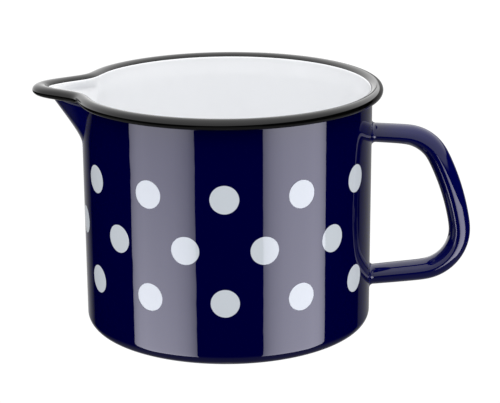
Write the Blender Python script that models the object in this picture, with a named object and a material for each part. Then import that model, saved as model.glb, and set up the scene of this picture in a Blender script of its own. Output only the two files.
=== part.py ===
"""Enamelled steel milk jug with a pouring beak and a side handle.

Metres, +Z up. The origin is the centre of the flat underside. The beak points
along -X and the handle stands at +X.

The outer skin of body and beak is one polar surface about the Z axis, given by
skin_radius(). Shell, beak, lining and rim all take their shape from it, each at
its own depth below the skin, so they fit one another at any size.
"""
import math

import bmesh
import bpy
import numpy as np

MM = 0.001

# Body
BODY_RADIUS = 70.0 * MM          # outside of the straight wall
RIM_HEIGHT = 116.1 * MM          # centre of the rolled rim above the base
BASE_CORNER = 5.5 * MM           # outside radius between base and wall
SHELL_WALL = 0.8 * MM            # steel with its blue coat
COAT_WALL = 0.5 * MM             # white coat inside
GAP = 0.3 * MM                   # clearance between touching pieces

# Rolled rim
BEAD_DIAMETER = 5.3 * MM
BEAD_SHEET = 0.9 * MM
BEAD_SLIT = 0.8 * MM             # where the curled edge stops short of the wall
BEAD_SLIT_AT = math.radians(215.0)   # from straight out, over the top, to below the wall's top
BEAD_INSET = 0.15 * MM           # how far the bead's inner side stands inside the skin
BEAD_TIP_EXTRA = 1.9 * MM        # extra width of the bead at the beak's tip
COAT_RISE = 0.9 * MM             # how far the white coat runs past the bead's centre

# Beak
BEAK_REACH = 16.6 * MM           # skin at the tip, out from the body wall
BEAK_DEPTH = 26.4 * MM           # foot of the beak below the rim
BEAK_HALF_WIDTH = 23.6 * MM
BEAK_SHARPNESS = 3.2             # power of the cosine across the beak
BEAK_FOOT_BLEND = 3.0 * MM       # rounding where the keel leaves the wall
SEAM_WIDTH = 1.0 * MM            # weld between beak and body
NOTCH_MARGIN = 5.0 * MM          # how far the notch's cutter stands out of the wall

# Handle
HANDLE_TOP = 22.1 * MM           # centre of the upper arm below the rim
HANDLE_FOOT = 21.1 * MM          # centre of the lower arm above the base
HANDLE_WIDTH = 12.8 * MM
ARM_THICKNESS = 8.4 * MM         # at both ends
GRIP_THICKNESS = 10.2 * MM       # halfway along
HANDLE_SHEET = 1.0 * MM
HANDLE_SEAM = 0.8 * MM           # slit between the strip's two edges
HANDLE_CORNER = 3.4 * MM         # inner corners of the section
HANDLE_SHOULDER = 0.1            # start of the arch above the centre, as a share of thickness
HANDLE_ARM = 15.9 * MM           # straight part of the upper arm
UPPER_BEND = 20.1 * MM
LOWER_BEND = 20.7 * MM
ARM_SLOPE = math.radians(-3.3)   # headings of the centre line, 0 being straight out
GRIP_START = math.radians(-63.0)
GRIP_END = math.radians(-80.7)
RETURN_SLOPE = math.radians(-174.5)
FILLET_LEG = 2.0 * MM            # weld fillets at the handle's ends

# Fineness
TURN_STEPS = 72                  # round the body
BEAK_COLUMNS = 20
BEAK_ROWS = 10
BEAK_FIRST_ROW = math.radians(6.0)   # lowest row, as a turn of the outline's ellipse
SEAM_STEPS = 26                  # along the U of the seam

BEAD_RADIUS = BEAD_DIAMETER / 2
WALL_TOP = RIM_HEIGHT - BEAD_RADIUS / 2
BEAK_FOOT = RIM_HEIGHT - BEAK_DEPTH
COAT_DEPTH = SHELL_WALL + GAP
LINING_DEPTH = COAT_DEPTH + COAT_WALL


# ---------------------------------------------------------------- the skin

def beak_rise(height):
    """0 at the foot of the beak, 1 at the rim, and a little above 1 over it."""
    return np.clip((height - BEAK_FOOT) / BEAK_DEPTH, 0.0, 1.2)


def beak_half_width(height):
    """Half width of the beak where it meets the wall: a standing half ellipse."""
    below_rim = 1.0 - np.minimum(beak_rise(height), 1.0)
    return BEAK_HALF_WIDTH * np.sqrt(1.0 - below_rim ** 2)


def skin_radius(angle, height):
    """Distance of the outer skin from the Z axis, angle counted from -X."""
    climb = beak_rise(height) * BEAK_DEPTH
    full_climb = math.hypot(BEAK_DEPTH, BEAK_FOOT_BLEND) - BEAK_FOOT_BLEND
    keel = BEAK_REACH * (np.hypot(climb, BEAK_FOOT_BLEND) - BEAK_FOOT_BLEND) / full_climb
    half_angle = np.arcsin(beak_half_width(height) / BODY_RADIUS) + 1e-6
    across = np.clip(np.abs(angle) / half_angle, 0.0, 1.0)
    ridge = np.maximum(np.cos(across * math.pi / 2), 0.0) ** BEAK_SHARPNESS
    return BODY_RADIUS + keel * ridge


def skin_points(angle, height, depth):
    """Points at a depth below the skin, at the given angle and height."""
    step = 1e-5
    level = height
    for _ in range(4):
        radius = skin_radius(angle, level)
        along = (skin_radius(angle + step, level) - skin_radius(angle - step, level)) / (2 * step)
        upward = (skin_radius(angle, level + step) - skin_radius(angle, level - step)) / (2 * step)
        normal = np.stack([radius, -along, -radius * upward], axis=-1)
        normal = normal / np.linalg.norm(normal, axis=-1, keepdims=True)
        level = height + depth * normal[..., 2]
    outward = radius - depth * normal[..., 0]
    sideways = -depth * normal[..., 1]
    x = -outward * np.cos(angle) + sideways * np.sin(angle)
    y = outward * np.sin(angle) + sideways * np.cos(angle)
    return np.stack([x, y, height + 0.0 * x], axis=-1)


def beak_levels(top):
    """Heights of the beak's rows, closer together at its foot."""
    turns = np.linspace(BEAK_FIRST_ROW, math.pi / 2, BEAK_ROWS)
    return np.minimum(BEAK_FOOT + BEAK_DEPTH * (1.0 - np.cos(turns)), top)


def round_angles():
    """Angles round the body, closer together across the beak."""
    beak_angle = math.asin(BEAK_HALF_WIDTH / BODY_RADIUS)
    across = np.linspace(-beak_angle, beak_angle, BEAK_COLUMNS + 1)
    rest_steps = round(TURN_STEPS * (1 - beak_angle / math.pi))
    rest = np.linspace(beak_angle, 2 * math.pi - beak_angle, rest_steps + 1)
    return np.concatenate([across, rest[1:-1]])


# ------------------------------------------------------------ mesh helpers

def grid_faces(rows, columns, wrap_rows, wrap_columns):
    """Quads over a grid of points stored row by row."""
    faces = []
    for row in range(rows if wrap_rows else rows - 1):
        for column in range(columns if wrap_columns else columns - 1):
            below = (row + 1) % rows
            beside = (column + 1) % columns
            faces.append((row * columns + column, row * columns + beside,
                          below * columns + beside, below * columns + column))
    return faces


def add_object(name, points, faces, material, sharp_angle=40.0):
    """Make a mesh object with outward faces, smooth shading and one material."""
    mesh = bpy.data.meshes.new(name)
    mesh.from_pydata([tuple(point) for point in points], [], faces)
    shaper = bmesh.new()
    shaper.from_mesh(mesh)
    bmesh.ops.recalc_face_normals(shaper, faces=shaper.faces)
    shaper.to_mesh(mesh)
    shaper.free()
    mesh.shade_smooth()
    mesh.set_sharp_from_angle(angle=math.radians(sharp_angle))
    if material is not None:
        mesh.materials.append(material)
    item = bpy.data.objects.new(name, mesh)
    bpy.context.scene.collection.objects.link(item)
    return item


def add_material(name, colour, roughness, metallic=0.0):
    """A Principled material of one colour."""
    material = bpy.data.materials.new(name)
    material.use_nodes = True
    shader = material.node_tree.nodes["Principled BSDF"]
    shader.inputs["Base Color"].default_value = (*colour, 1.0)
    shader.inputs["Roughness"].default_value = roughness
    shader.inputs["Metallic"].default_value = metallic
    return material


def blue_enamel():
    return add_material("blue_enamel", (0.0015, 0.002, 0.045), 0.06)


def white_enamel():
    return add_material("white_enamel", (0.80, 0.81, 0.82), 0.10)


def black_enamel():
    return add_material("black_enamel", (0.006, 0.006, 0.006), 0.10)


# ------------------------------------------------------------ body and beak

def corner_profile(radius, level, corner, steps):
    """Rounded corner from the floor out to the wall, as (radius, height) pairs."""
    turns = np.linspace(0.0, math.pi / 2, steps + 1)
    out = radius - corner + corner * np.sin(turns)
    up = level + corner - corner * np.cos(turns)
    return list(zip(out, up))


def ellipse_offset(offset):
    """Beak outline seen from the front, moved outwards, from one side to the other."""
    turns = np.linspace(-math.pi / 2, math.pi / 2, SEAM_STEPS + 1)
    across = BEAK_HALF_WIDTH * np.sin(turns)
    up = RIM_HEIGHT - BEAK_DEPTH * np.cos(turns)
    normal = np.stack([np.sin(turns) / BEAK_HALF_WIDTH, -np.cos(turns) / BEAK_DEPTH], axis=-1)
    normal = normal / np.linalg.norm(normal, axis=-1, keepdims=True)
    return np.stack([across, up], axis=-1) + offset * normal


def build_notch_cutter():
    """Prism that opens the wall for the beak and its weld."""
    outline = [tuple(point) for point in ellipse_offset(SEAM_WIDTH + 2 * GAP)]
    left, right = outline[0], outline[-1]
    above = RIM_HEIGHT + BEAD_DIAMETER
    outline = [(left[0], above)] + outline + [(right[0], above)]
    near = -BODY_RADIUS - NOTCH_MARGIN
    far = -math.sqrt(BODY_RADIUS ** 2 - BEAK_HALF_WIDTH ** 2) + NOTCH_MARGIN
    count = len(outline)
    points = [(near, y, z) for y, z in outline] + [(far, y, z) for y, z in outline]
    faces = [tuple(range(count)), tuple(range(2 * count - 1, count - 1, -1))]
    for index in range(count):
        following = (index + 1) % count
        faces.append((index, following, count + following, count + index))
    cutter = add_object("notch_cutter", points, faces, None)
    cutter.hide_render = True
    cutter.display_type = "WIRE"
    return cutter


def build_body_shell():
    """Drawn cup: flat base, rounded corner, straight wall, open for the beak."""
    inner_corner = BASE_CORNER - SHELL_WALL
    profile = [(0.0, SHELL_WALL)]
    profile += corner_profile(BODY_RADIUS - SHELL_WALL, SHELL_WALL, inner_corner, 5)
    profile += [(BODY_RADIUS - SHELL_WALL, WALL_TOP - GAP), (BODY_RADIUS, WALL_TOP - GAP)]
    profile += reversed(corner_profile(BODY_RADIUS, 0.0, BASE_CORNER, 5))
    profile += [(0.0, 0.0)]
    mesh = bpy.data.meshes.new("body_shell")
    edges = [(index, index + 1) for index in range(len(profile) - 1)]
    mesh.from_pydata([(out, 0.0, up) for out, up in profile], edges, [])
    mesh.materials.append(blue_enamel())
    shell = bpy.data.objects.new("body_shell", mesh)
    bpy.context.scene.collection.objects.link(shell)
    turn = shell.modifiers.new("turn", "SCREW")
    turn.steps = TURN_STEPS
    turn.render_steps = TURN_STEPS
    turn.use_merge_vertices = True
    turn.merge_threshold = 0.00001
    turn.use_smooth_shade = True
    notch = shell.modifiers.new("notch", "BOOLEAN")
    notch.operation = "DIFFERENCE"
    notch.object = build_notch_cutter()
    return shell


def build_spout_beak():
    """Pressed sheet that fills the opening and swells out to the pouring lip."""
    rows = []
    across = np.linspace(-1.0, 1.0, BEAK_COLUMNS + 1)
    for level in beak_levels(WALL_TOP - GAP):
        half_angle = math.asin(float(beak_half_width(level)) / BODY_RADIUS)
        outer = skin_points(across * half_angle, level + 0.0 * across, 0.0)
        inner = skin_points(across * half_angle, level + 0.0 * across, SHELL_WALL)
        rows.append(np.concatenate([outer, inner[::-1]]))
    columns = len(rows[0])
    faces = grid_faces(len(rows), columns, False, True)
    half = columns // 2
    for start in (0, (len(rows) - 1) * columns):
        for index in range(half - 1):
            faces.append((start + index, start + index + 1,
                          start + columns - 2 - index, start + columns - 1 - index))
    return add_object("spout_beak", np.concatenate(rows), faces, blue_enamel())


def build_spout_weld():
    """U-shaped seam of weld metal between the beak and the body."""
    inner_line = ellipse_offset(GAP)
    outer_line = ellipse_offset(GAP + SEAM_WIDTH)
    rows = []
    for near, away in zip(inner_line, outer_line):
        row = []
        for (y, z), depth in ((near, 0.0), (away, 0.0), (away, SHELL_WALL), (near, SHELL_WALL)):
            height = min(z, WALL_TOP - GAP)
            radius = BODY_RADIUS - depth
            row.append((-math.sqrt(radius ** 2 - y ** 2), y, height))
        rows.append(row)
    points = np.array(rows).reshape(-1, 3)
    faces = grid_faces(len(rows), 4, False, True)
    last = len(points) - 4
    faces += [(0, 1, 2, 3), (last, last + 1, last + 2, last + 3)]
    return add_object("spout_weld", points, faces, blue_enamel())


def build_inner_coat():
    """White lining of base, wall and beak, one closed skin."""
    angles = round_angles()
    corner = BASE_CORNER - COAT_DEPTH
    thin_corner = BASE_CORNER - LINING_DEPTH
    wall_levels = [BEAK_FOOT - 1.0 * MM, *beak_levels(WALL_TOP - GAP), RIM_HEIGHT + COAT_RISE]
    rings = []
    for depth, radius in ((COAT_DEPTH, corner), (LINING_DEPTH, thin_corner)):
        side = []
        for out, up in corner_profile(BODY_RADIUS - depth, depth, radius, 4):
            side.append(np.stack([-out * np.cos(angles), out * np.sin(angles), up + 0 * angles], axis=-1))
        for level in wall_levels:
            side.append(skin_points(angles, level + 0.0 * angles, depth))
        rings.append(side)
    rows = rings[0] + rings[1][::-1]
    columns = len(angles)
    points = np.concatenate(rows + [np.array([[0, 0, COAT_DEPTH], [0, 0, LINING_DEPTH]])])
    faces = grid_faces(len(rows), columns, False, True)
    under, over = len(points) - 2, len(points) - 1
    last = (len(rows) - 1) * columns
    for index in range(columns):
        following = (index + 1) % columns
        faces.append((under, following, index))
        faces.append((over, last + index, last + following))
    return add_object("inner_coat", points, faces, white_enamel())


# -------------------------------------------------------------------- rim

def build_rim_bead():
    """Rolled edge: an almost closed tube of sheet that follows the skin's outline."""
    angles = round_angles()
    line = skin_points(angles, RIM_HEIGHT + 0.0 * angles, 0.0)[:, :2]
    ahead = np.roll(line, -1, axis=0) - np.roll(line, 1, axis=0)
    outward = np.stack([-ahead[:, 1], ahead[:, 0]], axis=-1)
    outward = outward / np.linalg.norm(outward, axis=-1, keepdims=True)
    beak_angle = math.asin(BEAK_HALF_WIDTH / BODY_RADIUS)
    signed = np.where(angles > math.pi, angles - 2 * math.pi, angles)
    near_tip = np.clip(1.0 - (2.0 * signed / beak_angle) ** 2, 0.0, 1.0) ** 2
    widths = BEAD_RADIUS + BEAD_TIP_EXTRA / 2 * near_tip

    outer_slit = BEAD_SLIT / 2 / BEAD_RADIUS
    inner_radius = BEAD_RADIUS - BEAD_SHEET
    inner_slit = BEAD_SLIT / 2 / inner_radius
    outer_turns = np.linspace(outer_slit, 2 * math.pi - outer_slit, 13) + BEAD_SLIT_AT
    inner_turns = np.linspace(2 * math.pi - inner_slit, inner_slit, 9) + BEAD_SLIT_AT
    section = [(math.cos(turn), math.sin(turn) * BEAD_RADIUS, 0.0) for turn in outer_turns]
    section += [(math.cos(turn), math.sin(turn) * inner_radius, BEAD_SHEET) for turn in inner_turns]

    rows = []
    for point, direction, width in zip(line, outward, widths):
        centre = point + direction * (width - BEAD_INSET)
        row = []
        for reach, up, sheet in section:
            place = centre + direction * reach * (width - sheet)
            row.append((place[0], place[1], RIM_HEIGHT + up))
        rows.append(row)
    points = np.array(rows).reshape(-1, 3)
    faces = grid_faces(len(rows), len(section), True, True)
    return add_object("rim_bead", points, faces, black_enamel())


# ----------------------------------------------------------------- handle

def arc_step(radius, heading, next_heading):
    """Move of a right-hand bend between two headings, in the X-Z plane."""
    return radius * np.array([math.sin(heading) - math.sin(next_heading),
                              math.cos(next_heading) - math.cos(heading)])


def handle_path():
    """Centre line of the handle as (point, heading) pairs, from top to foot.

    Straight arm, upper bend, long gentle grip, lower bend and straight return.
    The grip's radius and the return's length are the two sizes that bring the
    line back to the wall at the foot's height.
    """
    start = np.array([BODY_RADIUS, RIM_HEIGHT - HANDLE_TOP])
    goal = np.array([BODY_RADIUS, HANDLE_FOOT])
    arm = HANDLE_ARM * np.array([math.cos(ARM_SLOPE), math.sin(ARM_SLOPE)])
    upper = arc_step(UPPER_BEND, ARM_SLOPE, GRIP_START)
    lower = arc_step(LOWER_BEND, GRIP_END, RETURN_SLOPE)
    grip_unit = arc_step(1.0, GRIP_START, GRIP_END)
    return_unit = np.array([math.cos(RETURN_SLOPE), math.sin(RETURN_SLOPE)])
    missing = goal - start - arm - upper - lower
    grip_radius, return_length = np.linalg.solve(np.stack([grip_unit, return_unit], axis=1), missing)

    path = [(start, ARM_SLOPE), (start + arm, ARM_SLOPE)]
    bends = ((UPPER_BEND, ARM_SLOPE, GRIP_START, 7), (grip_radius, GRIP_START, GRIP_END, 4),
             (LOWER_BEND, GRIP_END, RETURN_SLOPE, 9))
    for radius, heading, last_heading, steps in bends:
        base = path[-1][0]
        for turn in np.linspace(heading, last_heading, steps + 1)[1:]:
            path.append((base + arc_step(radius, heading, turn), turn))
    path.append((path[-1][0] + return_length * return_unit, RETURN_SLOPE))
    return path


def handle_outline(shrink, thickness):
    """Half section, finger side to back: flat face, corner, side and broad arch."""
    half_width = HANDLE_WIDTH / 2 - shrink
    half_height = thickness / 2 - shrink
    corner = HANDLE_CORNER - shrink
    shoulder = HANDLE_SHOULDER * thickness
    outline = []
    for turn in np.linspace(0.0, math.pi / 2, 4):
        outline.append((half_width - corner + corner * math.sin(turn),
                        -half_height + corner - corner * math.cos(turn)))
    for turn in np.linspace(0.0, math.pi / 2, 6):
        outline.append((half_width * math.cos(turn), shoulder + (half_height - shoulder) * math.sin(turn)))
    return outline


def full_outline(shrink, thickness):
    """Whole section without the slit, running round once."""
    half = handle_outline(shrink, thickness)
    return half + [(-across, up) for across, up in reversed(half[:-1])]


def slit_section(thickness):
    """Section of the folded strip: round the outside, then back round the inside."""
    slit = HANDLE_SEAM / 2
    face = -thickness / 2
    outside = [(slit, face)] + full_outline(0.0, thickness) + [(-slit, face)]
    inside = full_outline(HANDLE_SHEET, thickness)[::-1]
    return outside + [(-slit, face + HANDLE_SHEET)] + inside + [(slit, face + HANDLE_SHEET)]


def build_handle():
    """Hollow handle folded from strip, slit along the finger side."""
    rows = []
    path = handle_path()
    spots = np.array([point for point, heading in path])
    travel = np.append(0.0, np.cumsum(np.linalg.norm(np.diff(spots, axis=0), axis=1)))
    for order, (point, heading) in enumerate(path):
        swell = math.sin(math.pi * travel[order] / travel[-1]) ** 2
        section = slit_section(ARM_THICKNESS + (GRIP_THICKNESS - ARM_THICKNESS) * swell)
        tangent = np.array([math.cos(heading), math.sin(heading)])
        normal = np.array([-tangent[1], tangent[0]])
        row = []
        for across, up in section:
            place = point + normal * up
            if order in (0, len(path) - 1):
                wall = math.sqrt((BODY_RADIUS + GAP) ** 2 - across ** 2)
                place = place + tangent * (wall - place[0]) / tangent[0]
            row.append((place[0], across, place[1]))
        rows.append(row)
    columns = len(section)
    half = columns // 2
    faces = grid_faces(len(rows), columns, False, True)
    for start in (0, (len(rows) - 1) * columns):
        for index in range(half - 1):
            faces.append((start + index, start + index + 1,
                          start + columns - 2 - index, start + columns - 1 - index))
    points = np.array(rows).reshape(-1, 3)
    return add_object("handle", points, faces, blue_enamel())


def build_handle_weld(name, height, heading):
    """Concave fillet of weld metal round one end of the handle."""
    arch_side = math.copysign(1.0, math.cos(heading))
    profile = [(GAP, GAP)]
    for turn in np.linspace(0.0, math.pi / 2, 4):
        profile.append((GAP + FILLET_LEG * (1 - math.sin(turn)), GAP + FILLET_LEG * (1 - math.cos(turn))))
    outline = np.array(full_outline(0.0, ARM_THICKNESS))
    along = np.roll(outline, -1, axis=0) - np.roll(outline, 1, axis=0)
    away = np.stack([along[:, 1], -along[:, 0]], axis=-1)
    away = away / np.linalg.norm(away, axis=-1, keepdims=True)
    rows = []
    for (across, up), (side, rise) in zip(outline, away):
        row = []
        for offset, lift in profile:
            y = across + offset * side
            z = height + arch_side * (up + offset * rise) + lift * math.tan(heading)
            row.append((math.sqrt((BODY_RADIUS + lift) ** 2 - y ** 2), y, z))
        rows.append(row)
    points = np.array(rows).reshape(-1, 3)
    faces = grid_faces(len(rows), len(profile), True, True)
    return add_object(name, points, faces, blue_enamel(), 60.0)


# ------------------------------------------------------------------ model

def main():
    for item in list(bpy.data.objects):
        bpy.data.objects.remove(item, do_unlink=True)
    build_body_shell()
    build_spout_beak()
    build_spout_weld()
    build_inner_coat()
    build_rim_bead()
    build_handle()
    build_handle_weld("handle_weld_upper", RIM_HEIGHT - HANDLE_TOP, ARM_SLOPE)
    build_handle_weld("handle_weld_lower", HANDLE_FOOT, RETURN_SLOPE)


main()
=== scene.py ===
import math

import bmesh
import bpy
import numpy as np
from mathutils import Matrix, Vector


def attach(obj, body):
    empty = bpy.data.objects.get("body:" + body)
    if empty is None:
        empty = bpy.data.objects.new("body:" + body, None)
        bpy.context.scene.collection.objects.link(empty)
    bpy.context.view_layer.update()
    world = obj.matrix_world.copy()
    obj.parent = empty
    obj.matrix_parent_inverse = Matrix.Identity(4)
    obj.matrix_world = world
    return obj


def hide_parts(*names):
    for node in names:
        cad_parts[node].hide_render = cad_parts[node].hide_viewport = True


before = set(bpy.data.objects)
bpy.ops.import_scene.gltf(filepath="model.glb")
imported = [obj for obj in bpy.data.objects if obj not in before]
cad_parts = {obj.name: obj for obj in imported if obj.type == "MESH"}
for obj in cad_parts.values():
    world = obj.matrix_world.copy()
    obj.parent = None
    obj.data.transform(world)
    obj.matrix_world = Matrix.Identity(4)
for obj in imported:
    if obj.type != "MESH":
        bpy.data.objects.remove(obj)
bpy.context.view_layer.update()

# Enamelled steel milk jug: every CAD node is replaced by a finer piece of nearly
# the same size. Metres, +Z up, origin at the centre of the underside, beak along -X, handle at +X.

MM = 0.001

# Sizes of the jug, close to the CAD model's
BODY_RADIUS = 70.0 * MM
RIM_HEIGHT = 116.1 * MM
BASE_CORNER = 5.5 * MM
SHELL_WALL = 0.8 * MM
LINING_DEPTH = 1.6 * MM          # white surface below the blue skin

BLUE_SHARE = 0.5                 # share of that depth taken by the blue pieces
WHITE_BACK_SHARE = 0.75          # and where the white coat's hidden back lies
FLARE_START = RIM_HEIGHT - 9.0 * MM
FLARE_HEIGHT = 8.5 * MM
TOP_MARGIN = 0.6 * MM            # from the bead's centre down to the sheets' top edge

BEAD_RADIUS = 2.65 * MM
BEAD_INSET = 0.15 * MM           # of the roll into the skin's outline
BEAD_INWARD = 0.9 * MM           # the roll's inner half is this much longer than round
BEAD_TIP_EXTRA = 1.9 * MM        # extra width over the beak's tip
SLIT_AT = math.radians(238.0)    # where the curled edge ends, round the bead from outside
SLIT_SPREAD = math.radians(7.0)
SLIT_DEPTH = 0.45 * MM
WHITE_RISE = 0.9 * MM            # white coat above the bead's centre
COAT_THICKNESS = 0.12 * MM       # white coat over the bead's inner side
COAT_BURIED = 0.2 * MM           # how far that coat's back runs into the bead
COAT_BACK = 0.4 * MM             # its hidden back below the floor
WALL_START = 10.0 * MM           # first row of the coat's wall above its corner

BEAK_REACH = 16.6 * MM
BEAK_DEPTH = 26.4 * MM
BEAK_HALF_WIDTH = 23.6 * MM
BEAK_FOOT_BLEND = 3.0 * MM
BEAK_FOOT = RIM_HEIGHT - BEAK_DEPTH
BEAK_SQUARENESS = 2.6            # power of the seam's outline: 2 is an ellipse
KEEL_ROUND = 0.264               # rounding of the keel, as a share of the half width
FLANK_HOLLOW = 0.13              # share by which the flanks are hollowed
FLANK_END = 3.0                  # half widths after which the flank's fall stops
FLANK_INSET = 0.3 * MM           # where the bare flank would meet the wall, inside the seam
LEAST_WIDTH = 0.5 * MM           # of the flank at the beak's foot
OPENING_START = 0.84             # share of the rise above which the beak opens into the rim
OPENING_INSET = 5.6 * MM         # how much further inside the seam the flank meets there
RIM_FILLET = 6.8 * MM            # blend of flank into wall at the rim
SEAM_FILLET = 0.03               # the same along the seam, as a share of the keel's rise
LEAST_FILLET = 0.01 * MM         # keeps the blend from vanishing below the beak
ROOT_DENT = 0.9 * MM             # how far the pressing pulls the rim in beside the beak
DENT_MIDDLE = 21.0               # degrees from the keel
DENT_SPREAD = 8.0                # degrees either side of that
DENT_HEIGHT = 24.0 * MM          # below the rim, where the dent runs out
SEAM_GAP = 0.2 * MM              # from the seam's middle to either sheet
SEAM_HALF = 1.1 * MM
SEAM_CROWN = 0.03 * MM
SEAM_TOP_MARGIN = 0.8 * MM
NUDGE = 1e-3                     # angle step for taking directions along the rim
SLOPE_STEP = 1e-5                # step for taking the skin's slopes

HANDLE_TOP = 22.1 * MM
HANDLE_FOOT = 21.1 * MM
HANDLE_WIDTH = 12.8 * MM
# Thickness in mm at shares of the handle's length
HANDLE_FULLNESS = ((0.0, 9.2), (0.1, 9.3), (0.2, 10.5), (0.3, 10.7), (0.5, 10.5),
                   (0.7, 10.4), (0.85, 10.2), (0.93, 10.1), (1.0, 9.6))
# The section's arcs: first and last direction in degrees, radius in mm
HANDLE_ARCS = ((0.0, 46.0, 8.0), (46.0, 73.0, 2.2), (73.0, 101.0, 4.0),
               (101.0, 128.0, 5.2), (128.0, 180.0, 6.83))
HANDLE_ARM = 15.9 * MM
UPPER_BEND = 20.1 * MM
LOWER_BEND = 20.7 * MM
ARM_SLOPE = math.radians(-3.3)
GRIP_START = math.radians(-63.0)
GRIP_END = math.radians(-80.7)
RETURN_SLOPE = math.radians(-174.5)
WELD_LEG = 2.0 * MM
WELD_WAVER = 0.1                 # share of the leg by which a hand-laid weld varies
BURIED = 0.3 * MM                # how far a piece runs into its neighbour

DOT_RADIUS = 6.66 * MM
DOT_MIDDLE_ROW = 56.05 * MM
DOT_ROW_PITCH = 24.65 * MM
DOTS_ROUND = 12


# ------------------------------------------------------------------ materials

COBALT = "#000038"
COBALT_PAINTED_LIGHTER = "#010348"         # lighter copy of the body's cobalt on the beak, seam, handle and welds: painted light for the extra light these pieces catch
DOT_WHITE = "#DBE2EA"
WHITE_LOW, WHITE_HIGH = "#EFF0F2", "#F2F3F5"
EDGE_BLACK = "#060606"
ENAMEL_IOR = 1.5
GLOSSY = 0.03                    # roughness of the dipped coats
SPRAYED = 0.08
BRUSHED = 0.05
RIPPLE_SCALE = 110.0             # 9 mm across
TRANSFER_STEP = 0.03 * MM        # height of a fused dot above the glass
DOT_WAVER = 0.12 * MM            # unevenness of a dot's edge
DOT_SOFT_OUT = 0.14 * MM         # the edge fades between these two distances
DOT_SOFT_IN = 0.02 * MM
HANDLE_GAP = 0.4                 # radians either side of the handle without a middle dot


def linear(code):
    """Linear colour of an sRGB hex code."""
    parts = [int(code[start:start + 2], 16) / 255 for start in (1, 3, 5)]
    return (*[part / 12.92 if part <= 0.04045 else ((part + 0.055) / 1.055) ** 2.4
              for part in parts], 1.0)


def add(tree, kind, settings=None, links=None):
    """Add a node, give it its settings and sockets, and link its inputs."""
    node = tree.nodes.new(kind)
    for name, value in (settings or {}).items():
        if isinstance(name, int) or name in node.inputs:
            node.inputs[name].default_value = value
        else:
            setattr(node, name, value)
    for name, source in (links or {}).items():
        tree.links.new(source, node.inputs[name])
    return node


def new_material(name):
    """An empty node material with its output node."""
    material = bpy.data.materials.new(name)
    material.use_nodes = True
    material.node_tree.nodes.clear()
    return material, material.node_tree


def fired_skin(tree, place, depth, raised=None):
    """Normals of fired glass: a slow ripple, 9 mm across, like the peel of an orange."""
    ripple = add(tree, "ShaderNodeTexNoise",
                 {"Scale": RIPPLE_SCALE, "Detail": 1.0, "Roughness": 0.4}, {"Vector": place})
    skin = add(tree, "ShaderNodeBump",
               {"Strength": 1.0, "Distance": depth}, {"Height": ripple.outputs[0]})
    if raised is None:
        return skin.outputs[0]
    edge = add(tree, "ShaderNodeBump", {"Strength": 1.0, "Distance": TRANSFER_STEP},
               {"Height": raised, "Normal": skin.outputs[0]})
    return edge.outputs[0]


def plain_cobalt_enamel():
    """Cobalt vitreous enamel, dipped and fired: deep blue glass with a mirror gloss, its colour
    painted lighter than the body's cobalt to stand for the light these pieces catch.
    """
    material, tree = new_material("cobalt_vitreous_enamel")
    place = add(tree, "ShaderNodeTexCoord").outputs["Object"]
    normal = fired_skin(tree, place, 0.02 * MM)
    glass = add(tree, "ShaderNodeBsdfPrincipled",
                {"Base Color": linear(COBALT_PAINTED_LIGHTER), "Roughness": GLOSSY, "IOR": ENAMEL_IOR},
                {"Normal": normal})
    add(tree, "ShaderNodeOutputMaterial", {}, {"Surface": glass.outputs[0]})
    return material


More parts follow.
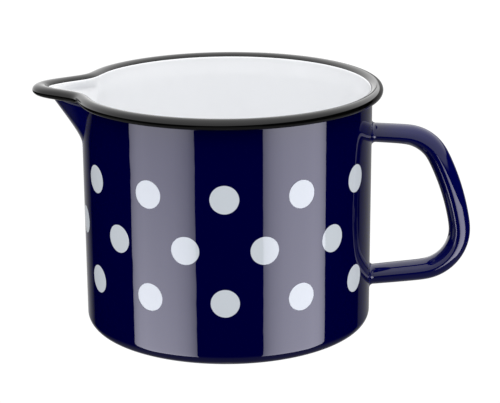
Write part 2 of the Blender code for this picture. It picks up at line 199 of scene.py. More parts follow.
def dotted_cobalt_enamel():
    """The same cobalt enamel with round white transfers fused into it.

    Rows stand DOT_ROW_PITCH apart and the middle row is turned by half a step. A point's
    row and column are the nearest whole ones, and its distance from that dot's centre is
    measured along the wall. The middle row leaves out the two dots beside the handle.
    """
    material, tree = new_material("cobalt_enamel_with_fused_dots")
    place = add(tree, "ShaderNodeTexCoord").outputs["Object"]
    axes = add(tree, "ShaderNodeSeparateXYZ", {}, {0: place}).outputs
    step = 2 * math.pi / DOTS_ROUND
    front = add(tree, "ShaderNodeMath", {"operation": "MULTIPLY", 1: -1.0}, {0: axes[1]})
    turn = add(tree, "ShaderNodeMath", {"operation": "ARCTAN2"},
               {0: axes[0], 1: front.outputs[0]})
    lift = add(tree, "ShaderNodeMath", {"operation": "SUBTRACT", 1: DOT_MIDDLE_ROW}, {0: axes[2]})
    share = add(tree, "ShaderNodeMath", {"operation": "DIVIDE", 1: DOT_ROW_PITCH},
                {0: lift.outputs[0]})
    nearest = add(tree, "ShaderNodeMath", {"operation": "ROUND"}, {0: share.outputs[0]})
    row = add(tree, "ShaderNodeClamp", {"Min": -1.0, "Max": 1.0}, {"Value": nearest.outputs[0]})
    up = add(tree, "ShaderNodeMath", {"operation": "MULTIPLY_ADD", 1: -DOT_ROW_PITCH},
             {0: row.outputs[0], 2: lift.outputs[0]})
    outer_row = add(tree, "ShaderNodeMath", {"operation": "ABSOLUTE"}, {0: row.outputs[0]})
    shift = add(tree, "ShaderNodeMath", {"operation": "MULTIPLY_ADD", 1: step / 2, 2: -step / 2},
                {0: outer_row.outputs[0]})
    turned = add(tree, "ShaderNodeMath", {"operation": "ADD"},
                 {0: turn.outputs[0], 1: shift.outputs[0]})
    folded = add(tree, "ShaderNodeMath", {"operation": "WRAP", 1: step / 2, 2: -step / 2},
                 {0: turned.outputs[0]})
    along = add(tree, "ShaderNodeMath", {"operation": "MULTIPLY", 1: BODY_RADIUS},
                {0: folded.outputs[0]})
    offset = add(tree, "ShaderNodeCombineXYZ", {}, {0: along.outputs[0], 1: up.outputs[0]})
    distance = add(tree, "ShaderNodeVectorMath", {"operation": "LENGTH"}, {0: offset.outputs[0]})
    waver = add(tree, "ShaderNodeTexNoise", {"Scale": 400.0, "Detail": 1.0}, {"Vector": place})
    uneven = add(tree, "ShaderNodeMath", {"operation": "MULTIPLY_ADD", 1: DOT_WAVER},
                 {0: waver.outputs[0], 2: distance.outputs["Value"]})
    dot = add(tree, "ShaderNodeMapRange",
              {"From Min": DOT_RADIUS + DOT_SOFT_OUT, "From Max": DOT_RADIUS - DOT_SOFT_IN},
              {0: uneven.outputs[0]})
    at_handle = add(tree, "ShaderNodeMath",
                    {"operation": "COMPARE", 1: math.pi / 2, 2: HANDLE_GAP}, {0: turn.outputs[0]})
    in_middle = add(tree, "ShaderNodeMath", {"operation": "SUBTRACT", 0: 1.0},
                    {1: outer_row.outputs[0]})
    left_out = add(tree, "ShaderNodeMath", {"operation": "MULTIPLY"},
                   {0: at_handle.outputs[0], 1: in_middle.outputs[0]})
    shown = add(tree, "ShaderNodeMath", {"operation": "SUBTRACT", "use_clamp": True},
                {0: dot.outputs[0], 1: left_out.outputs[0]})
    colour = add(tree, "ShaderNodeMix",
                 {"data_type": "RGBA", 6: linear(COBALT), 7: linear(DOT_WHITE)},
                 {0: shown.outputs[0]})
    normal = fired_skin(tree, place, 0.03 * MM, shown.outputs[0])
    glass = add(tree, "ShaderNodeBsdfPrincipled", {"Roughness": GLOSSY, "IOR": ENAMEL_IOR},
                {"Base Color": colour.outputs[2], "Normal": normal})
    add(tree, "ShaderNodeOutputMaterial", {}, {"Surface": glass.outputs[0]})
    return material


def white_enamel():
    """White titanium enamel, sprayed and fired: milky glass, a little cool."""
    material, tree = new_material("white_titanium_enamel")
    place = add(tree, "ShaderNodeTexCoord").outputs["Object"]
    cloud = add(tree, "ShaderNodeTexNoise", {"Scale": 40.0, "Detail": 3.0}, {"Vector": place})
    colour = add(tree, "ShaderNodeMix",
                 {"data_type": "RGBA", 6: linear(WHITE_LOW), 7: linear(WHITE_HIGH)},
                 {0: cloud.outputs[0]})
    normal = fired_skin(tree, place, 0.012 * MM)
    glass = add(tree, "ShaderNodeBsdfPrincipled", {"Roughness": SPRAYED, "IOR": ENAMEL_IOR},
                {"Base Color": colour.outputs[2], "Normal": normal})
    add(tree, "ShaderNodeOutputMaterial", {}, {"Surface": glass.outputs[0]})
    return material


def black_enamel():
    """Black edging enamel, brushed on over the rolled rim and fired glossy."""
    material, tree = new_material("black_edging_enamel")
    place = add(tree, "ShaderNodeTexCoord").outputs["Object"]
    normal = fired_skin(tree, place, 0.008 * MM)
    glass = add(tree, "ShaderNodeBsdfPrincipled",
                {"Base Color": linear(EDGE_BLACK), "Roughness": BRUSHED, "IOR": ENAMEL_IOR},
                {"Normal": normal})
    add(tree, "ShaderNodeOutputMaterial", {}, {"Surface": glass.outputs[0]})
    return material


# ------------------------------------------------------------------ mesh making

def grid_quads(rows, columns, closed_rows, closed_columns):
    """Corner numbers of the quads over a grid of points stored row by row."""
    row = np.arange(rows if closed_rows else rows - 1)[:, None]
    column = np.arange(columns if closed_columns else columns - 1)[None, :]
    after = (row + 1) % rows
    beside = (column + 1) % columns
    corners = [row * columns + column, row * columns + beside,
               after * columns + beside, after * columns + column]
    return np.stack(np.broadcast_arrays(*corners), axis=-1).reshape(-1, 4)


def make_piece(name, grid, material, nodes, closed_rows=False, capped=False):
    """Put a grid of points into a mesh, close it, turn it outwards and ride it on the jug."""
    rows, columns = grid.shape[:2]
    faces = grid_quads(rows, columns, closed_rows, True).tolist()
    if capped:
        faces += [list(range(columns)), list(range((rows - 1) * columns, rows * columns))]
    mesh = bpy.data.meshes.new(name)
    mesh.from_pydata(grid.reshape(-1, 3).tolist(), [], faces)
    shaper = bmesh.new()
    shaper.from_mesh(mesh)
    bmesh.ops.remove_doubles(shaper, verts=shaper.verts, dist=1e-7)
    bmesh.ops.recalc_face_normals(shaper, faces=shaper.faces)
    shaper.to_mesh(mesh)
    shaper.free()
    mesh.shade_smooth()
    mesh.materials.append(material)
    piece = bpy.data.objects.new(name, mesh)
    bpy.context.scene.collection.objects.link(piece)
    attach(piece, "root")
    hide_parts(*nodes)
    return piece


# ------------------------------------------------------------------ the skin

def beak_rise(height):
    """0 at the beak's foot, 1 at the rim, and a little above 1 over it."""
    return np.clip((height - BEAK_FOOT) / BEAK_DEPTH, 0.0, 1.2)


def squarish(share):
    """One half axis of a squarish ellipse where the other has gone this share of its own."""
    return (1.0 - share ** BEAK_SQUARENESS) ** (1.0 / BEAK_SQUARENESS)


def beak_half_width(height):
    """Half width of the beak at the wall: the outline of a squarish half ellipse."""
    return BEAK_HALF_WIDTH * squarish(1.0 - np.minimum(beak_rise(height), 1.0))


def ease(share):
    """Smooth step from 0 to 1."""
    share = np.clip(share, 0.0, 1.0)
    return share * share * (3.0 - 2.0 * share)


def skin_radius(angle, height):
    """Distance of the blue skin from the axis, angle counted from -X.

    The flanks fall from the keel to the seam along a hyperbola, so they are nearly
    straight with a rounded keel. A smooth blend (value, slope and bend agree at its ends)
    joins them to the wall, tight along the seam and wide at the rim, and the pressing
    dents the wall a little beside it.
    """
    rise = beak_rise(height)
    climb = rise * BEAK_DEPTH
    full_climb = math.hypot(BEAK_DEPTH, BEAK_FOOT_BLEND) - BEAK_FOOT_BLEND
    keel = BEAK_REACH * (np.hypot(climb, BEAK_FOOT_BLEND) - BEAK_FOOT_BLEND) / full_climb
    opening = ease((rise - OPENING_START) / (1.0 - OPENING_START))
    meets = beak_half_width(height) - FLANK_INSET - OPENING_INSET * opening
    spread = np.abs(angle) / np.arcsin(np.maximum(meets, LEAST_WIDTH) / BODY_RADIUS)
    full_fall = math.hypot(1.0, KEEL_ROUND) - KEEL_ROUND
    fall = np.minimum((np.hypot(spread, KEEL_ROUND) - KEEL_ROUND) / full_fall, FLANK_END)
    stands = keel * (1.0 - fall) * (1.0 - FLANK_HOLLOW * fall)

    blend = SEAM_FILLET * keel + RIM_FILLET * opening + LEAST_FILLET
    share = np.clip(stands / blend, -1.0, 1.0)
    filled = blend * (3 / 16 + share / 2 + 3 / 8 * share ** 2 - share ** 4 / 16)
    joined = filled + np.maximum(stands - blend, 0.0)

    beside = np.exp(-((np.degrees(np.abs(angle)) - DENT_MIDDLE) / DENT_SPREAD) ** 2)
    dent = ROOT_DENT * beside * ease((height - RIM_HEIGHT + DENT_HEIGHT) / DENT_HEIGHT)
    return BODY_RADIUS + joined - dent


def lining_depth(height):
    """Depth of the white surface below the skin: even, and less in a flare at the rim."""
    flare = ease((height - FLARE_START) / FLARE_HEIGHT)
    return LINING_DEPTH + (BEAD_INSET + BEAD_INWARD + COAT_THICKNESS - LINING_DEPTH) * flare


def skin_points(angle, height, depth):
    """Points at a depth below the skin along its normal, held at the given height.

    The skin's point whose normal passes through the height is found in four rounds.
    """
    step = SLOPE_STEP
    level = height
    for _ in range(4):
        radius = skin_radius(angle, level)
        after, before = skin_radius(angle + step, level), skin_radius(angle - step, level)
        above, below = skin_radius(angle, level + step), skin_radius(angle, level - step)
        along = (after - before) / (2 * step)
        upward = (above - below) / (2 * step)
        normal = np.stack([radius, -along, -radius * upward], axis=-1)
        normal = normal / np.linalg.norm(normal, axis=-1, keepdims=True)
        level = height + depth * normal[..., 2]
    outward = radius - depth * normal[..., 0]
    sideways = -depth * normal[..., 1]
    x = -outward * np.cos(angle) + sideways * np.sin(angle)
    y = outward * np.sin(angle) + sideways * np.cos(angle)
    return np.stack([x, y, height + 0.0 * x], axis=-1)


def round_angles(across_steps, rest_steps):
    """Angles round the jug from -X, closer together across the beak and at its seams."""
    seam = math.asin((BEAK_HALF_WIDTH + SEAM_GAP) / BODY_RADIUS)
    across = seam * np.sin(np.linspace(-math.pi / 2, math.pi / 2, across_steps + 1))
    rest = np.linspace(seam, 2 * math.pi - seam, rest_steps + 1)
    return np.concatenate([across, rest[1:-1]])


def round_rows(radii, heights, angles):
    """Circles about the axis, one for each radius and height."""
    x = -radii[:, None] * np.cos(angles)
    y = radii[:, None] * np.sin(angles)
    return np.stack([x, y, heights[:, None] + 0.0 * x], axis=-1)


def corner(radius, level, bend, steps):
    """Radii and heights of a quarter circle from the floor out to the wall."""
    turns = np.linspace(0.0, math.pi / 2, steps + 1)
    return radius - bend + bend * np.sin(turns), level + bend - bend * np.cos(turns)


def base_rows(radii, heights, flat_steps, angles, back=0.0):
    """Rows of a flat base from its centre to a corner and round it, or their back below."""
    flat = np.linspace(0.0, 1.0, flat_steps + 1)[:-1]
    return round_rows(np.concatenate([flat * radii[0], radii + back]),
                      np.concatenate([0 * flat + heights[0], heights]) - back, angles)


# ------------------------------------------------------------------ body, beak and seam

def signed_angles(angles):
    """Angles of a full turn brought to between half a turn back and half a turn on."""
    return np.where(angles > math.pi, angles - 2 * math.pi, angles)


def body_piece(material):
    """Drawn cup: outside from the centre of the base to the top, then down the inside.

    The wall's top is level under the rim, and follows the seam's outline where the beak
    fills the opening.
    """
    angles = round_angles(90, 360)
    signed = signed_angles(angles)
    side = np.abs(BODY_RADIUS * np.sin(signed)) / (BEAK_HALF_WIDTH + SEAM_GAP)
    below_rim = squarish(np.minimum(side, 1.0))
    full_top = RIM_HEIGHT - TOP_MARGIN
    notch = np.minimum(RIM_HEIGHT - (BEAK_DEPTH + SEAM_GAP) * below_rim, full_top)
    top = np.where((np.cos(signed) > 0) & (side < 1.0), notch, full_top)

    out_r, out_z = corner(BODY_RADIUS, 0.0, BASE_CORNER, 20)
    in_r, in_z = corner(BODY_RADIUS - SHELL_WALL, SHELL_WALL, BASE_CORNER - SHELL_WALL, 8)
    outside, inside = base_rows(out_r, out_z, 8, angles), base_rows(in_r, in_z, 8, angles)
    climb = np.sin(np.linspace(0.0, math.pi / 2, 97))[1:, None]
    walls = []
    for levels, depth_share in ((climb, 0.0), (climb[1::2], BLUE_SHARE)):
        height = BASE_CORNER + (top - BASE_CORNER) * levels
        radius = skin_radius(signed, height) - depth_share * lining_depth(height)
        walls.append(np.stack([-radius * np.cos(angles), radius * np.sin(angles), height],
                              axis=-1))
    grid = np.concatenate([outside, walls[0], walls[1][::-1], inside[::-1]])
    return make_piece("jug_body", grid, material, ["body_shell"])


def beak_piece(material):
    """Pressed beak: the skin and its inside, between the two arms of the seam."""
    turns = np.linspace(math.radians(2.0), math.pi / 2, 80)
    climb = BEAK_FOOT + BEAK_DEPTH * (1.0 - np.cos(turns))
    levels = np.minimum(climb, RIM_HEIGHT - TOP_MARGIN)[:, None]
    across = np.sin(np.linspace(-math.pi / 2, math.pi / 2, 121))[None, :]
    edge = np.maximum(beak_half_width(levels) - SEAM_GAP, 0.2 * MM)
    angle = across * np.arcsin(edge / BODY_RADIUS)
    height = levels + 0.0 * across
    outer = skin_points(angle, height, 0.0 * height)
    inner = skin_points(angle, height, BLUE_SHARE * lining_depth(height))
    grid = np.concatenate([outer, inner[:, ::-1]], axis=1)
    return make_piece("pouring_beak", grid, material, ["spout_beak"], capped=True)


def seam_piece(material):
    """Ground weld along the U of the beak: a strip of the skin, hardly raised."""
    turns = np.linspace(-math.pi / 2, math.pi / 2, 241)
    around = np.linspace(0.0, 2 * math.pi, 49)[None, :-1]
    power = 2.0 / BEAK_SQUARENESS
    line_y = BEAK_HALF_WIDTH * np.sign(turns) * np.abs(np.sin(turns)) ** power
    line_z = RIM_HEIGHT - BEAK_DEPTH * np.cos(turns) ** power
    ahead_y, ahead_z = np.gradient(line_y), np.gradient(line_z)
    length = np.hypot(ahead_y, ahead_z)
    offset = SEAM_HALF * np.cos(around)
    y = line_y[:, None] + offset * (ahead_z / length)[:, None]
    z = np.minimum(line_z[:, None] - offset * (ahead_y / length)[:, None],
                   RIM_HEIGHT - SEAM_TOP_MARGIN)
    side = np.sin(around)
    depth = -side * np.where(side > 0, SEAM_CROWN, BLUE_SHARE * lining_depth(z))
    grid = skin_points(np.arcsin(y / BODY_RADIUS), z, depth)
    return make_piece("beak_seam", grid, material, ["spout_weld"], capped=True)


# ------------------------------------------------------------------ rim and lining

def rim_line():
    """Outline of the skin at the rim, its outward directions and the bead's half widths."""
    angles = round_angles(140, 460)
    signed, none = signed_angles(angles), 0.0 * angles
    before, line, after = [skin_points(signed + nudge, RIM_HEIGHT + none, none)[:, :2]
                           for nudge in (-NUDGE, 0.0, NUDGE)]
    ahead = after - before
    outward = np.stack([-ahead[:, 1], ahead[:, 0]], axis=-1)
    outward = outward / np.linalg.norm(outward, axis=-1, keepdims=True)
    beak_angle = math.asin(BEAK_HALF_WIDTH / BODY_RADIUS)
    near_tip = np.clip(1.0 - (2.0 * signed / beak_angle) ** 2, 0.0, 1.0) ** 2
    return angles, line, outward, BEAD_RADIUS + BEAD_TIP_EXTRA / 2 * near_tip


def bead_points(line, outward, widths, turns, lift):
    """Points round the bead: 0 faces out, a quarter turn up; lift stands off its surface."""
    centre = line + outward * (widths - BEAD_INSET)[:, None]
    inward = np.where(np.cos(turns) < 0, BEAD_INWARD, 0.0)
    reach = np.cos(turns)[:, None] * (widths[None, :] + (lift + inward)[:, None])
    flat = centre[None] + outward[None] * reach[..., None]
    up = RIM_HEIGHT + np.sin(turns)[:, None] * (BEAD_RADIUS + lift[:, None]) + 0.0 * reach
    return np.concatenate([flat, up[..., None]], axis=-1)


def rim_piece(material):
    """Rolled rim: a tube round the skin's outline, with the curled edge's slit below."""
    _, line, outward, widths = rim_line()
    turns = np.linspace(0.0, 2 * math.pi, 65)[:-1]
    slit = np.exp(-((turns - SLIT_AT) / SLIT_SPREAD) ** 2)
    grid = bead_points(line, outward, widths, turns, -SLIT_DEPTH * slit)
    return make_piece("rolled_rim", grid, material, ["rim_bead"],
                      closed_rows=True)


def lining_piece(material):
    """White coat: floor, corner and wall inside, flaring out over the rim's inner side."""
    angles, line, outward, widths = rim_line()
    in_r, in_z = corner(BODY_RADIUS - LINING_DEPTH, LINING_DEPTH,
                        BASE_CORNER - LINING_DEPTH, 12)
    floor = base_rows(in_r, in_z, 6, angles)
    under = base_rows(in_r, in_z, 6, angles, COAT_BACK)
    levels = np.concatenate([np.linspace(WALL_START, BEAK_FOOT - 1.0 * MM, 8),
                             np.linspace(BEAK_FOOT, RIM_HEIGHT - 0.3 * MM, 44)])[:, None]
    height = levels + 0.0 * angles
    around = signed_angles(angles) + 0.0 * height
    wall = skin_points(around, height, lining_depth(height))
    back = skin_points(around[1::2], height[1::2],
                       WHITE_BACK_SHARE * lining_depth(height[1::2]))
    rise = math.asin(WHITE_RISE / BEAD_RADIUS)
    turns = np.linspace(math.pi, math.pi - rise, 8)
    thinning = np.sqrt(np.clip(1.0 - ((math.pi - turns) / rise) ** 4, 0.0, 1.0))
    over = bead_points(line, outward, widths, turns, COAT_THICKNESS * thinning)
    below = bead_points(line, outward, widths, turns[::-1], -COAT_BURIED + 0.0 * turns)
    grid = np.concatenate([floor, wall, over, below, back[::-1], under[::-1]])
    return make_piece("white_lining", grid, material, ["inner_coat"])


# ------------------------------------------------------------------ handle

def arc_step(radius, heading, next_heading):
    """Move of a right-hand bend between two headings, in the X-Z plane."""
    return radius * np.array([math.sin(heading) - math.sin(next_heading),
                              math.cos(next_heading) - math.cos(heading)])


def handle_line():
    """Centre line and headings: arm, upper bend, long gentle grip, lower bend, return."""
    start = np.array([BODY_RADIUS, RIM_HEIGHT - HANDLE_TOP])
    goal = np.array([BODY_RADIUS, HANDLE_FOOT])
    arm = HANDLE_ARM * np.array([math.cos(ARM_SLOPE), math.sin(ARM_SLOPE)])
    home = np.array([math.cos(RETURN_SLOPE), math.sin(RETURN_SLOPE)])
    upper = arc_step(UPPER_BEND, ARM_SLOPE, GRIP_START)
    lower = arc_step(LOWER_BEND, GRIP_END, RETURN_SLOPE)
    grip_unit = arc_step(1.0, GRIP_START, GRIP_END)
    grip_radius, return_length = np.linalg.solve(np.stack([grip_unit, home], axis=1),
                                                 goal - start - arm - upper - lower)
    spots = [start + arm * share for share in np.linspace(0.0, 1.0, 12)]
    headings = [ARM_SLOPE] * 12
    for radius, heading, last, steps in ((UPPER_BEND, ARM_SLOPE, GRIP_START, 36),
                                         (grip_radius, GRIP_START, GRIP_END, 36),
                                         (LOWER_BEND, GRIP_END, RETURN_SLOPE, 54)):
        base = spots[-1]
        for turn in np.linspace(heading, last, steps + 1)[1:]:
            spots.append(base + arc_step(radius, heading, turn))
            headings.append(turn)
    base = spots[-1]
    for share in np.linspace(0.0, 1.0, 16)[1:]:
        spots.append(base + return_length * share * home)
        headings.append(RETURN_SLOPE)
    return np.array(spots), np.array(headings)


def smoothed(values, rounds):
    """Ease the jumps of a run of values: average each with its neighbours, ends kept."""
    for _ in range(rounds):
        values[1:-1] = (values[:-2] + 2 * values[1:-1] + values[2:]) / 4
    return values


def handle_section(thickness):
    """Section across and up, round once, from the middle of the finger side.

    Five tangent arcs on each side: a gently bowed finger face, a tight corner, a short
    side and a broad back, stretched to the width and thickness asked for.
    """
    across, up = [np.zeros(1)], [np.zeros(1)]
    for first, last, radius in HANDLE_ARCS:
        turns = np.radians(np.linspace(first, last, 11))
        across.append(across[-1][-1] + radius * (np.sin(turns[1:]) - math.sin(turns[0])))
        up.append(up[-1][-1] + radius * (math.cos(turns[0]) - np.cos(turns[1:])))
    across, up = np.concatenate(across), np.concatenate(up)
    across = across - np.linspace(0.0, 1.0, len(across)) ** 4 * across[-1]
    across = across * (HANDLE_WIDTH / 2 / across.max())
    up = up * (thickness / up[-1]) - thickness / 2
    return np.concatenate([across, -across[-2:0:-1]]), np.concatenate([up, up[-2:0:-1]])


def handle_piece(material):
    """Folded strip handle: its section carried along the centre line, fuller in the grip."""
    spots, headings = [smoothed(values, 30) for values in handle_line()]
    travel = np.append(0.0, np.cumsum(np.linalg.norm(np.diff(spots, axis=0), axis=1)))
    places, sizes = np.array(HANDLE_FULLNESS).T
    fullness = smoothed(np.interp(travel / travel[-1], places, sizes * MM), 40)
    rows = []
    for spot, heading, thickness in zip(spots, headings, fullness):
        across, up = handle_section(thickness)
        rows.append(np.stack([spot[0] - math.sin(heading) * up, across,
                              spot[1] + math.cos(heading) * up], axis=-1))
    grid = np.array(rows)
    for end in (0, -1):
        wall = np.sqrt((BODY_RADIUS - BURIED) ** 2 - grid[end, :, 1] ** 2)
        slope = math.tan(headings[end])
        grid[end, :, 2] += (wall - grid[end, :, 0]) * slope
        grid[end, :, 0] = wall
    return make_piece("handle_grip", grid, material, ["handle"], capped=True)


def weld_piece(name, height, heading, thickness, material, node):
    """Hollow fillet of weld metal: a quarter circle from wall to arm, all round the arm."""
    arch_side = math.copysign(1.0, math.cos(heading))
    across, up = handle_section(thickness)
    ahead = np.stack([np.roll(run, -1) - np.roll(run, 1) for run in (across, up)])
    away = np.stack([ahead[1], -ahead[0]]) / np.hypot(*ahead)
    way_round = np.linspace(0.0, 2 * math.pi, len(across), endpoint=False)
    leg = WELD_LEG * (1.0 + WELD_WAVER * np.sin(5 * way_round + 1.0) * np.cos(2 * way_round))
    turns = np.linspace(0.0, math.pi / 2, 13)
    root = np.full((len(leg), 1), -BURIED)
    offset = np.append(leg[:, None] * (1 - np.sin(turns)), root, axis=1)
    lift = np.append(leg[:, None] * (1 - np.cos(turns)), root, axis=1)
    y = across[:, None] + offset * away[0][:, None]
    z = height + arch_side * (up[:, None] + offset * away[1][:, None]) + lift * math.tan(heading)
    grid = np.stack([np.sqrt((BODY_RADIUS + lift) ** 2 - y ** 2), y, z], axis=-1)
    return make_piece(name, grid, material, [node], closed_rows=True)


# ------------------------------------------------------------------ studio

CAMERA_PLACE = Vector((0.0170, -0.7822, 0.2949))
CAMERA_PITCH = math.radians(16.783)
CAMERA_YAW = math.radians(-0.445)
CAMERA_ROLL = math.radians(-0.29)
CAMERA_LENS = 119.8              # mm on a 36 mm sensor

CARD_DISTANCE = 0.45             # of the two light cards from the jug's axis
CARD_TOP = 0.03
CARD_FOOT = -0.27
CARD_FOOT_RISE = 0.11            # of the foot at the outer end
CARD_CORNER = 0.76               # share of the width where the foot starts to rise
CARD_COLUMNS, CARD_ROWS = 49, 9
CARD_TINT = (0.985, 0.97, 1.14, 1.0)
LEFT_CARD = (-74.4, -22.2)       # degrees from straight ahead of the jug
LEFT_GLOW = (7.0, 3.7)           # at the foot and at the top
RIGHT_CARD = (26.5, 78.2)
RIGHT_GLOW = (6.4, 4.9)
# Brightness of a card at shares of its width, from its inner end
CARD_PROFILE = ((0.0, 0.40), (0.03, 0.52), (0.10, 0.72), (0.18, 0.84), (0.30, 0.95),
                (0.45, 1.0), (0.78, 1.0), (0.88, 0.92), (0.94, 0.78), (1.0, 0.55))

SOFTBOX_PLACE = (0.0, -0.3, 1.2)
SOFTBOX_SIZE = 1.2
SOFTBOX_POWER = 12.5             # watts
AIM = (0.0, 0.0, 0.06)           # the middle of the jug

WHITE_LEVEL = 1.05               # background and table, just past white
CEILING_EDGE = (-11.0, 12.0)     # its lower edge in degrees, straight ahead and at the right
CEILING_LOW = 1.2                # brightness at that edge
CEILING_ZENITH = 0.75            # how much brighter it is straight above
CEILING_BEHIND = 0.8             # and behind the jug
TABLE_HALF = 4.0


def set_camera():
    """Long lens from the front, a little above the rim."""
    ahead = Vector((math.sin(CAMERA_YAW) * math.cos(CAMERA_PITCH),
                    math.cos(CAMERA_YAW) * math.cos(CAMERA_PITCH), -math.sin(CAMERA_PITCH)))
    right = ahead.cross(Vector((0, 0, 1))).normalized()
    up = right.cross(ahead)
    rolled_right = right * math.cos(CAMERA_ROLL) + up * math.sin(CAMERA_ROLL)
    rolled_up = up * math.cos(CAMERA_ROLL) - right * math.sin(CAMERA_ROLL)
    data = bpy.data.cameras.new("camera")
    data.lens = CAMERA_LENS
    data.sensor_width = 36.0
    data.clip_start = 0.01
    camera = bpy.data.objects.new("camera", data)
    turn = Matrix((rolled_right, rolled_up, -ahead)).transposed().to_4x4()
    camera.matrix_world = Matrix.Translation(CAMERA_PLACE) @ turn
    bpy.context.scene.collection.objects.link(camera)
    bpy.context.scene.camera = camera


def set_surroundings():
    """White to the eye, even soft light on the coats, and a bright ceiling for the gloss.

    The gloss sees a ceiling that brightens upwards and behind the jug, a dark room below
    it, a pale wall low behind the jug and a dim glow from straight below.
    """
    world = bpy.data.worlds.new("studio")
    bpy.context.scene.world = world
    world.use_nodes = True
    tree = world.node_tree
    tree.nodes.clear()
    place = add(tree, "ShaderNodeTexCoord").outputs["Generated"]
    way = add(tree, "ShaderNodeSeparateXYZ", {}, {0: place}).outputs
    front = add(tree, "ShaderNodeMath", {"operation": "MULTIPLY", 1: -1.0}, {0: way[1]})
    turn = add(tree, "ShaderNodeMath", {"operation": "ARCTAN2"},
               {0: way[0], 1: front.outputs[0]})
    degrees = add(tree, "ShaderNodeMath", {"operation": "DEGREES"}, {0: turn.outputs[0]})
    azimuth = degrees.outputs[0]
    climb = add(tree, "ShaderNodeMath", {"operation": "ARCSINE"}, {0: way[2]})
    degrees_up = add(tree, "ShaderNodeMath", {"operation": "DEGREES"}, {0: climb.outputs[0]})
    elevation = degrees_up.outputs[0]

    to_right = add(tree, "ShaderNodeMapRange",
                   {"From Min": 0.0, "From Max": 90.0,
                    "To Min": CEILING_EDGE[0], "To Max": CEILING_EDGE[1]}, {0: azimuth})
    above = add(tree, "ShaderNodeMath", {"operation": "SUBTRACT"},
                {0: elevation, 1: to_right.outputs[0]})
    ceiling = add(tree, "ShaderNodeMapRange",
                  {"interpolation_type": "SMOOTHSTEP", "From Min": -1.5, "From Max": 1.5},
                  {0: above.outputs[0]})
    height_squared = add(tree, "ShaderNodeMath", {"operation": "MULTIPLY"},
                         {0: way[2], 1: way[2]})
    overhead = add(tree, "ShaderNodeMath",
                   {"operation": "MULTIPLY_ADD", 1: CEILING_ZENITH, 2: CEILING_LOW},
                   {0: height_squared.outputs[0]})
    behind = add(tree, "ShaderNodeMapRange",
                 {"From Min": -0.1, "From Max": 0.6, "To Min": 0.0, "To Max": CEILING_BEHIND},
                 {0: way[1]})
    bright = add(tree, "ShaderNodeMath", {"operation": "ADD"},
                 {0: overhead.outputs[0], 1: behind.outputs[0]})

    wall_right = add(tree, "ShaderNodeMapRange",
                     {"From Min": 131.0, "From Max": 165.0, "To Min": 0.1, "To Max": 0.4},
                     {0: azimuth})
    wall_right_on = add(tree, "ShaderNodeMapRange", {"From Min": 130.0, "From Max": 132.0},
                        {0: azimuth})
    wall_left = add(tree, "ShaderNodeMapRange",
                    {"From Min": -138.0, "From Max": -165.0, "To Min": 0.0, "To Max": 0.6},
                    {0: azimuth})
    right_glow = add(tree, "ShaderNodeMath", {"operation": "MULTIPLY"},
                     {0: wall_right.outputs[0], 1: wall_right_on.outputs[0]})
    nadir = add(tree, "ShaderNodeMapRange",
                {"From Min": -25.0, "From Max": -45.0, "To Min": 0.0, "To Max": 0.2},
                {0: elevation})
    glow = add(tree, "ShaderNodeMath", {"operation": "ADD"},
               {0: right_glow.outputs[0], 1: wall_left.outputs[0]})
    low = add(tree, "ShaderNodeMath", {"operation": "MAXIMUM"},
              {0: glow.outputs[0], 1: nadir.outputs[0]})
    gloss = add(tree, "ShaderNodeMix", {"data_type": "FLOAT"},
                {0: ceiling.outputs[0], 2: low.outputs[0], 3: bright.outputs[0]}).outputs[0]

    soft = add(tree, "ShaderNodeMapRange",
               {"From Min": -0.4, "From Max": 0.4, "To Min": 0.5, "To Max": 0.86}, {0: way[2]})
    sideways = add(tree, "ShaderNodeMath", {"operation": "MULTIPLY_ADD", 1: 0.5, 2: 0.08},
                   {0: way[0]})
    sides = add(tree, "ShaderNodeMath", {"operation": "MULTIPLY_ADD"},
                {0: sideways.outputs[0], 1: way[0], 2: soft.outputs[0]})
    ray = add(tree, "ShaderNodeLightPath").outputs
    mirrored = add(tree, "ShaderNodeMix", {"data_type": "FLOAT"},
                   {0: ray["Is Glossy Ray"], 2: sides.outputs[0], 3: gloss})
    seen = add(tree, "ShaderNodeMix", {"data_type": "FLOAT", 3: WHITE_LEVEL},
               {0: ray["Is Camera Ray"], 2: mirrored.outputs[0]})
    light = add(tree, "ShaderNodeBackground", {}, {"Strength": seen.outputs[0]})
    add(tree, "ShaderNodeOutputWorld", {}, {0: light.outputs[0]})
    world.cycles.sampling_method = "NONE"


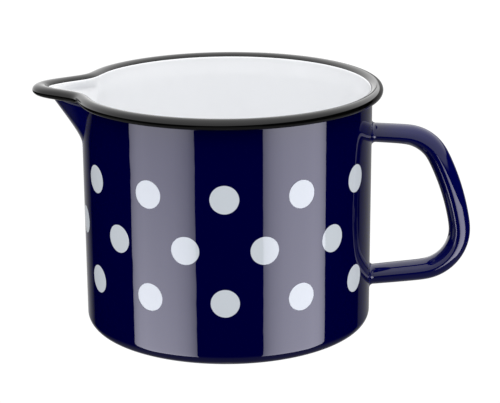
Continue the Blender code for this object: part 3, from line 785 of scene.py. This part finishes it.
def light_card(name, first, last, receivers, brightness):
    """Upright curved light card, brightest in its middle and fading towards its edges."""
    angles = np.radians(np.linspace(first, last, CARD_COLUMNS))
    ends = (1.0, 0.0) if first < 0 else (0.0, 1.0)
    outer_share = np.linspace(*ends, CARD_COLUMNS)
    foot = CARD_FOOT + CARD_FOOT_RISE * ease((outer_share - CARD_CORNER) / (1.0 - CARD_CORNER))
    heights = foot + (CARD_TOP - foot) * np.linspace(0.0, 1.0, CARD_ROWS)[:, None]
    grid = np.stack([CARD_DISTANCE * np.sin(angles) + 0 * heights,
                     -CARD_DISTANCE * np.cos(angles) + 0 * heights, heights], axis=-1)
    mesh = bpy.data.meshes.new(name)
    mesh.from_pydata(grid.reshape(-1, 3).tolist(), [],
                     grid_quads(CARD_ROWS, CARD_COLUMNS, False, False).tolist())
    share = mesh.uv_layers.new(name="card")
    corners = np.empty(len(mesh.loops), dtype=np.int32)
    mesh.loops.foreach_get("vertex_index", corners)
    rise = (heights.ravel()[corners] - CARD_FOOT) / (CARD_TOP - CARD_FOOT)
    flat = np.stack([outer_share[corners % CARD_COLUMNS], rise], axis=-1)
    share.uv.foreach_set("vector", flat.astype(np.float32).ravel())
    material, tree = new_material(name + "_glow")
    card_map = add(tree, "ShaderNodeUVMap", {"uv_map": "card"})
    place = add(tree, "ShaderNodeSeparateXYZ", {}, {0: card_map.outputs[0]})
    ramp = add(tree, "ShaderNodeValToRGB", {}, {0: place.outputs[0]})
    stops = ramp.color_ramp.elements
    for index, (position, level) in enumerate(CARD_PROFILE):
        stop = stops[index] if index < 2 else stops.new(position)
        stop.position = position
        stop.color = (level, level, level, 1.0)
    fall = add(tree, "ShaderNodeMapRange",
               {"To Min": brightness[0], "To Max": brightness[1]}, {0: place.outputs[1]})
    strength = add(tree, "ShaderNodeMath", {"operation": "MULTIPLY"},
                   {0: ramp.outputs[0], 1: fall.outputs[0]})
    glow = add(tree, "ShaderNodeEmission", {"Color": CARD_TINT},
               {"Strength": strength.outputs[0]})
    add(tree, "ShaderNodeOutputMaterial", {}, {"Surface": glow.outputs[0]})
    material.cycles.emission_sampling = "NONE"
    mesh.materials.append(material)
    card = bpy.data.objects.new(name, mesh)
    bpy.context.scene.collection.objects.link(card)
    card.visible_camera = False
    card.visible_diffuse = False
    card.visible_shadow = False
    card.light_linking.receiver_collection = receivers


def set_softbox():
    """Large square softbox overhead, aimed at the jug, for its even light on the coats."""
    data = bpy.data.lights.new("overhead_softbox", "AREA")
    data.size = SOFTBOX_SIZE
    data.energy = SOFTBOX_POWER
    lamp = bpy.data.objects.new("overhead_softbox", data)
    lamp.location = SOFTBOX_PLACE
    aim = Vector(AIM) - Vector(SOFTBOX_PLACE)
    lamp.rotation_euler = aim.to_track_quat("-Z", "Y").to_euler()
    lamp.visible_camera = False
    lamp.visible_glossy = False
    bpy.context.scene.collection.objects.link(lamp)


def set_floor():
    """Plain white table, lit so evenly that it has no edge and no shadow."""
    mesh = bpy.data.meshes.new("floor")
    corners = [(x * TABLE_HALF, y * TABLE_HALF, 0.0)
               for x, y in ((-1, -1), (1, -1), (1, 1), (-1, 1))]
    mesh.from_pydata(corners, [], [(0, 1, 2, 3)])
    material, tree = new_material("white_table")
    glow = add(tree, "ShaderNodeEmission", {"Strength": WHITE_LEVEL})
    add(tree, "ShaderNodeOutputMaterial", {}, {"Surface": glow.outputs[0]})
    material.cycles.emission_sampling = "NONE"
    mesh.materials.append(material)
    floor = bpy.data.objects.new("floor", mesh)
    bpy.context.scene.collection.objects.link(floor)
    floor.visible_diffuse = False
    floor.visible_glossy = False
    floor.visible_shadow = False


# ------------------------------------------------------------------ scene

def main():
    """Make the pieces in their coats, then the studio round them."""
    cobalt = plain_cobalt_enamel()
    black = black_enamel()
    blue_pieces = [
        body_piece(dotted_cobalt_enamel()),
        beak_piece(cobalt),
        seam_piece(cobalt),
        handle_piece(cobalt),
        weld_piece("upper_weld", RIM_HEIGHT - HANDLE_TOP, ARM_SLOPE, HANDLE_FULLNESS[0][1] * MM,
                   cobalt, "handle_weld_upper"),
        weld_piece("lower_weld", HANDLE_FOOT, RETURN_SLOPE, HANDLE_FULLNESS[-1][1] * MM,
                   cobalt, "handle_weld_lower"),
    ]
    lining_piece(white_enamel())
    rim_piece(black)

    set_camera()
    set_surroundings()
    set_floor()
    flagged = bpy.data.collections.new("lit_by_cards")
    for piece in blue_pieces:
        flagged.objects.link(piece)
    light_card("left_card", *LEFT_CARD, flagged, LEFT_GLOW)
    light_card("right_card", *RIGHT_CARD, flagged, RIGHT_GLOW)
    set_softbox()
    bpy.context.scene.view_settings.view_transform = "Standard"


main()
